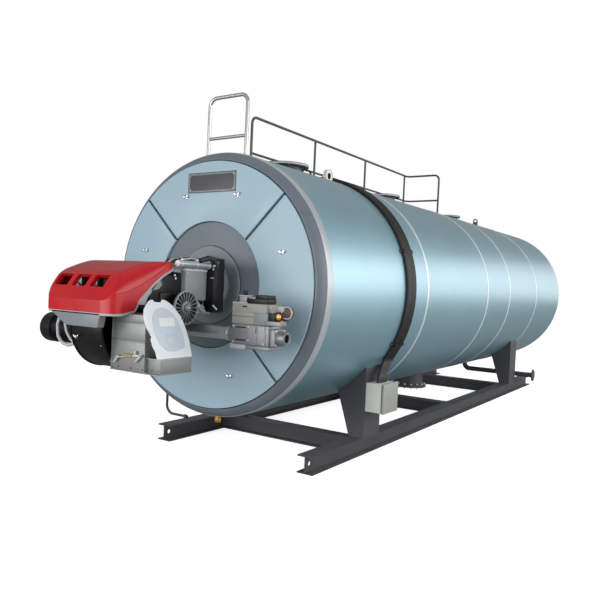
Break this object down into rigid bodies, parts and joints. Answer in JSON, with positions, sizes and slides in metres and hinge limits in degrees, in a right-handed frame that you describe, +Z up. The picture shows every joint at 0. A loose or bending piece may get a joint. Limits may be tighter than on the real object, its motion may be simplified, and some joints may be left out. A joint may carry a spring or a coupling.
{
  "type": "industrial boiler",
  "caption": "Horizontal fire-tube boiler in blue cladding with a gas burner under a red hood, top nozzles and handrail, on two H-beam skid runners.",
  "frame": {"origin": "on the floor, on the boiler's centre plane, half way along its whole length", "axes": "+Z up, +Y along the boiler axis to the rear, the burner at -Y, +X to the right as seen from the burner"},
  "size_m": [2.2413, 9.619, 3.2],
  "materials": {
    "cladding_blue": "satin paint with a metallic flake on steel sheet",
    "panel_blue": "smooth satin enamel",
    "gap_blue": "dark satin paint",
    "door_grey": "satin grey paint",
    "trim_steel": "brushed stainless",
    "frame_grey": "semi-gloss machine paint",
    "rail_grey": "satin paint",
    "hoop_steel": "drawn tube",
    "hood_red": "moulded glossy cover",
    "black_paint": "semi-gloss black",
    "burner_grey": "satin grey",
    "zinc": "zinc plated",
    "intake_steel": "galvanised sheet",
    "white_plastic": "moulded, satin",
    "box_beige": "powder coat",
    "cast_aluminium": "die cast",
    "cable_black": "PVC sheath",
    "brass": "cast",
    "gauge_white": "enamelled dial case",
    "plate_grey": "anodised plate, blank"
  },
  "bodies": {
    "root": {"air_tube": "zinc", "black_housing": "black_paint", "blowdown_pipe": "frame_grey", "bottom_nozzle": "frame_grey", "burner_body": "black_paint", "burner_hood": "hood_red", "burner_neck": "burner_grey", "burner_plate": "door_grey", "burner_port_ring": "door_grey", "cable_harness": "cable_black", "cam_wheel": "cast_aluminium", "cladding_course_1": "cladding_blue", "cladding_course_2": "cladding_blue", "cladding_course_3": "cladding_blue", "cladding_course_4": "cladding_blue", "cladding_course_5": "cladding_blue", "control_box": "burner_grey", "cross_beams": "frame_grey", "door_panels": "panel_blue", "door_plate": "gap_blue", "drain_plug": "brass", "fan_motor": "black_paint", "fan_scroll": "black_paint", "flue_outlet": "frame_grey", "front_ring": "door_grey", "front_trim": "trim_steel", "gas_pipe": "zinc", "gas_valve": "cast_aluminium", "gauge_siphon": "black_paint", "handrail_lower": "rail_grey", "handrail_posts": "rail_grey", "handrail_top": "rail_grey", "harness_clamps": "black_paint", "hood_tray": "burner_grey", "intake_box": "intake_steel", "intake_cover": "white_plastic", "junction_box": "box_beige", "junction_box_door": "box_beige", "ladder_hoop": "hoop_steel", "left_drain_pipe": "frame_grey", "lifting_lug": "frame_grey", "nameplate": "plate_grey", "panel_knobs": "trim_steel", "pressure_gauge": "gauge_white", "pressure_switch": "black_paint", "rear_cover": "door_grey", "rear_nozzle": "frame_grey", "rear_rim": "cladding_blue", "saddles_front": "frame_grey", "saddles_rear": "frame_grey", "safety_valve_nozzle": "frame_grey", "skid_beam_left": "frame_grey", "skid_beam_right": "frame_grey", "steam_nozzle": "frame_grey", "trim_bands": "trim_steel", "valve_coil_box": "box_beige", "vent_stub": "frame_grey"}
  },
  "joints": []
}
